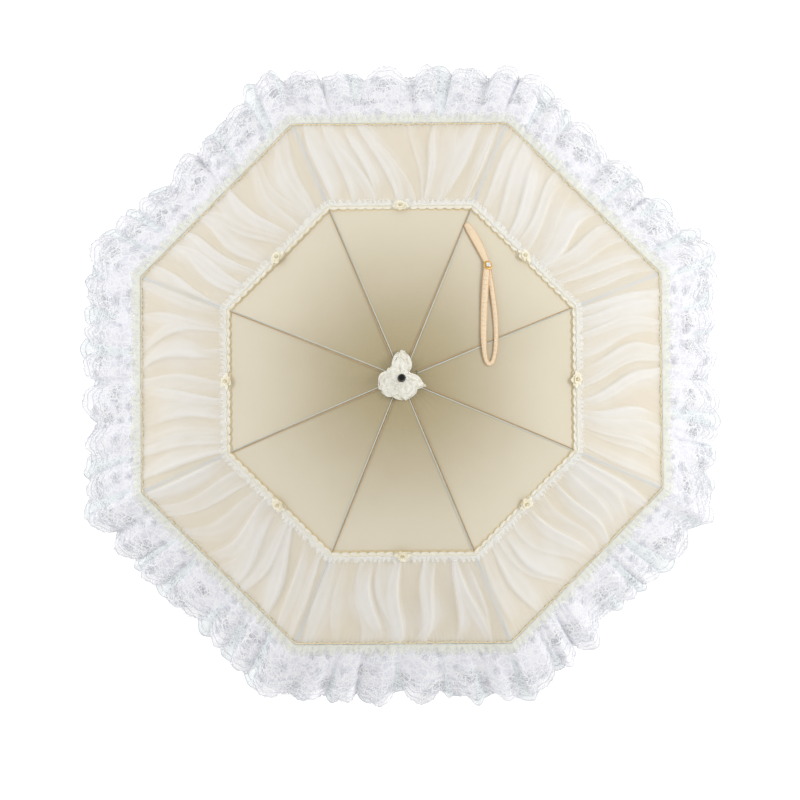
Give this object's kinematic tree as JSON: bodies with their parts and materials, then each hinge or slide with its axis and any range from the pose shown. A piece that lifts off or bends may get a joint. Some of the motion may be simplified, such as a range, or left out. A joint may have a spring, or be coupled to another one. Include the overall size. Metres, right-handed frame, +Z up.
{
  "type": "lace parasol",
  "caption": "Open stick parasol with a satin canopy, a ruched chiffon band, a gathered lace valance, a crown rosette, hinged ribs and stretchers, and a sliding runner.",
  "frame": {"origin": "centre of the handle's flat end", "axes": "+Z up the shaft to the ferrule; +X and +Y lie between two ribs, and rib_1 is 22.5 degrees from +X towards +Y"},
  "size_m": [0.9608, 0.9608, 0.803],
  "materials": {
    "steel": "plated, fine drawn grain",
    "black_plastic": "moulded, slightly glossy",
    "handle_wood": "varnished",
    "satin": "champagne satin",
    "ruched_chiffon": "sheer off-white chiffon over peach satin",
    "lace": "cotton lace, slightly blue white",
    "peach_ribbon": "peach satin ribbon and elastic",
    "gold_stone": "polished gold setting with a clear stone"
  },
  "bodies": {
    "stick": {"shaft_tube": "steel", "handle": "handle_wood", "handle_collar": "steel", "notch": "black_plastic", "notch_wire": "steel", "ferrule": "black_plastic", "rosette": "lace"},
    "runner": {"runner": "black_plastic"},
    "top_catch": {"top_catch": "steel"},
    "bottom_catch": {"bottom_catch": "steel"},
    "rib_1": {"rib_1": "steel", "rib_tip_1": "steel", "canopy_gore_1": "satin", "ruched_band_1": "ruched_chiffon", "lace_valance_1": "lace"},
    "stretcher_1": {"stretcher_1": "steel"},
    "rib_2": {"rib_2": "steel", "rib_tip_2": "steel", "canopy_gore_2": "satin", "ruched_band_2": "ruched_chiffon", "lace_valance_2": "lace", "tie_strap": "peach_ribbon", "strap_stone": "gold_stone"},
    "stretcher_2": {"stretcher_2": "steel"},
    "rib_3": {"rib_3": "steel", "rib_tip_3": "steel", "canopy_gore_3": "satin", "ruched_band_3": "ruched_chiffon", "lace_valance_3": "lace"},
    "stretcher_3": {"stretcher_3": "steel"},
    "rib_4": {"rib_4": "steel", "rib_tip_4": "steel", "canopy_gore_4": "satin", "ruched_band_4": "ruched_chiffon", "lace_valance_4": "lace"},
    "stretcher_4": {"stretcher_4": "steel"},
    "rib_5": {"rib_5": "steel", "rib_tip_5": "steel", "canopy_gore_5": "satin", "ruched_band_5": "ruched_chiffon", "lace_valance_5": "lace"},
    "stretcher_5": {"stretcher_5": "steel"},
    "rib_6": {"rib_6": "steel", "rib_tip_6": "steel", "canopy_gore_6": "satin", "ruched_band_6": "ruched_chiffon", "lace_valance_6": "lace"},
    "stretcher_6": {"stretcher_6": "steel"},
    "rib_7": {"rib_7": "steel", "rib_tip_7": "steel", "canopy_gore_7": "satin", "ruched_band_7": "ruched_chiffon", "lace_valance_7": "lace"},
    "stretcher_7": {"stretcher_7": "steel"},
    "rib_8": {"rib_8": "steel", "rib_tip_8": "steel", "canopy_gore_8": "satin", "ruched_band_8": "ruched_chiffon", "lace_valance_8": "lace"},
    "stretcher_8": {"stretcher_8": "steel"}
  },
  "joints": [
    {"name": "runner_slide", "type": "slide", "parent": "stick", "child": "runner", "axis": [0, 0, -1], "range_m": [0, 0.2684]},
    {"name": "top_catch_press", "type": "slide", "parent": "stick", "child": "top_catch", "axis": [-1, 0, 0], "range_m": [0, 0.0018], "stiffness_N_per_m": 400, "springref_m": -0.002},
    {"name": "bottom_catch_press", "type": "slide", "parent": "stick", "child": "bottom_catch", "axis": [-1, 0, 0], "range_m": [0, 0.0018], "stiffness_N_per_m": 400, "springref_m": -0.002},
    {"name": "rib_1_hinge", "type": "hinge", "parent": "stick", "child": "rib_1", "pos_m": [0.0097, 0.00402, 0.755], "axis": [-0.3827, 0.9239, 0], "range_deg": [0, 62], "deforming": ["canopy_gore_1", "ruched_band_1", "lace_valance_1"]},
    {"name": "stretcher_1_hinge", "type": "hinge", "parent": "rib_1", "child": "stretcher_1", "pos_m": [0.17465, 0.07234, 0.71078], "axis": [-0.3827, 0.9239, 0], "range_deg": [-124, 0]},
    {"name": "rib_2_hinge", "type": "hinge", "parent": "stick", "child": "rib_2", "pos_m": [0.00402, 0.0097, 0.755], "axis": [-0.9239, 0.3827, 0], "range_deg": [0, 62], "deforming": ["canopy_gore_2", "ruched_band_2", "lace_valance_2", "tie_strap", "strap_stone"]},
    {"name": "stretcher_2_hinge", "type": "hinge", "parent": "rib_2", "child": "stretcher_2", "pos_m": [0.07234, 0.17465, 0.71078], "axis": [-0.9239, 0.3827, 0], "range_deg": [-124, 0]},
    {"name": "rib_3_hinge", "type": "hinge", "parent": "stick", "child": "rib_3", "pos_m": [-0.00402, 0.0097, 0.755], "axis": [-0.9239, -0.3827, 0], "range_deg": [0, 62], "deforming": ["canopy_gore_3", "ruched_band_3", "lace_valance_3"]},
    {"name": "stretcher_3_hinge", "type": "hinge", "parent": "rib_3", "child": "stretcher_3", "pos_m": [-0.07234, 0.17465, 0.71078], "axis": [-0.9239, -0.3827, 0], "range_deg": [-124, 0]},
    {"name": "rib_4_hinge", "type": "hinge", "parent": "stick", "child": "rib_4", "pos_m": [-0.0097, 0.00402, 0.755], "axis": [-0.3827, -0.9239, 0], "range_deg": [0, 62], "deforming": ["canopy_gore_4", "ruched_band_4", "lace_valance_4"]},
    {"name": "stretcher_4_hinge", "type": "hinge", "parent": "rib_4", "child": "stretcher_4", "pos_m": [-0.17465, 0.07234, 0.71078], "axis": [-0.3827, -0.9239, 0], "range_deg": [-124, 0]},
    {"name": "rib_5_hinge", "type": "hinge", "parent": "stick", "child": "rib_5", "pos_m": [-0.0097, -0.00402, 0.755], "axis": [0.3827, -0.9239, 0], "range_deg": [0, 62], "deforming": ["canopy_gore_5", "ruched_band_5", "lace_valance_5"]},
    {"name": "stretcher_5_hinge", "type": "hinge", "parent": "rib_5", "child": "stretcher_5", "pos_m": [-0.17465, -0.07234, 0.71078], "axis": [0.3827, -0.9239, 0], "range_deg": [-124, 0]},
    {"name": "rib_6_hinge", "type": "hinge", "parent": "stick", "child": "rib_6", "pos_m": [-0.00402, -0.0097, 0.755], "axis": [0.9239, -0.3827, 0], "range_deg": [0, 62], "deforming": ["canopy_gore_6", "ruched_band_6", "lace_valance_6"]},
    {"name": "stretcher_6_hinge", "type": "hinge", "parent": "rib_6", "child": "stretcher_6", "pos_m": [-0.07234, -0.17465, 0.71078], "axis": [0.9239, -0.3827, 0], "range_deg": [-124, 0]},
    {"name": "rib_7_hinge", "type": "hinge", "parent": "stick", "child": "rib_7", "pos_m": [0.00402, -0.0097, 0.755], "axis": [0.9239, 0.3827, 0], "range_deg": [0, 62], "deforming": ["canopy_gore_7", "ruched_band_7", "lace_valance_7"]},
    {"name": "stretcher_7_hinge", "type": "hinge", "parent": "rib_7", "child": "stretcher_7", "pos_m": [0.07234, -0.17465, 0.71078], "axis": [0.9239, 0.3827, 0], "range_deg": [-124, 0]},
    {"name": "rib_8_hinge", "type": "hinge", "parent": "stick", "child": "rib_8", "pos_m": [0.0097, -0.00402, 0.755], "axis": [0.3827, 0.9239, 0], "range_deg": [0, 62], "deforming": ["canopy_gore_8", "ruched_band_8", "lace_valance_8"]},
    {"name": "stretcher_8_hinge", "type": "hinge", "parent": "rib_8", "child": "stretcher_8", "pos_m": [0.17465, -0.07234, 0.71078], "axis": [0.3827, 0.9239, 0], "range_deg": [-124, 0]}
  ],
  "couplings": [
    {"joint": "rib_1_hinge", "follows": "runner_slide", "rad_per_m": 4.0317},
    {"joint": "stretcher_1_hinge", "follows": "runner_slide", "rad_per_m": -8.0634},
    {"joint": "rib_2_hinge", "follows": "runner_slide", "rad_per_m": 4.0317},
    {"joint": "stretcher_2_hinge", "follows": "runner_slide", "rad_per_m": -8.0634},
    {"joint": "rib_3_hinge", "follows": "runner_slide", "rad_per_m": 4.0317},
    {"joint": "stretcher_3_hinge", "follows": "runner_slide", "rad_per_m": -8.0634},
    {"joint": "rib_4_hinge", "follows": "runner_slide", "rad_per_m": 4.0317},
    {"joint": "stretcher_4_hinge", "follows": "runner_slide", "rad_per_m": -8.0634},
    {"joint": "rib_5_hinge", "follows": "runner_slide", "rad_per_m": 4.0317},
    {"joint": "stretcher_5_hinge", "follows": "runner_slide", "rad_per_m": -8.0634},
    {"joint": "rib_6_hinge", "follows": "runner_slide", "rad_per_m": 4.0317},
    {"joint": "stretcher_6_hinge", "follows": "runner_slide", "rad_per_m": -8.0634},
    {"joint": "rib_7_hinge", "follows": "runner_slide", "rad_per_m": 4.0317},
    {"joint": "stretcher_7_hinge", "follows": "runner_slide", "rad_per_m": -8.0634},
    {"joint": "rib_8_hinge", "follows": "runner_slide", "rad_per_m": 4.0317},
    {"joint": "stretcher_8_hinge", "follows": "runner_slide", "rad_per_m": -8.0634}
  ]
}
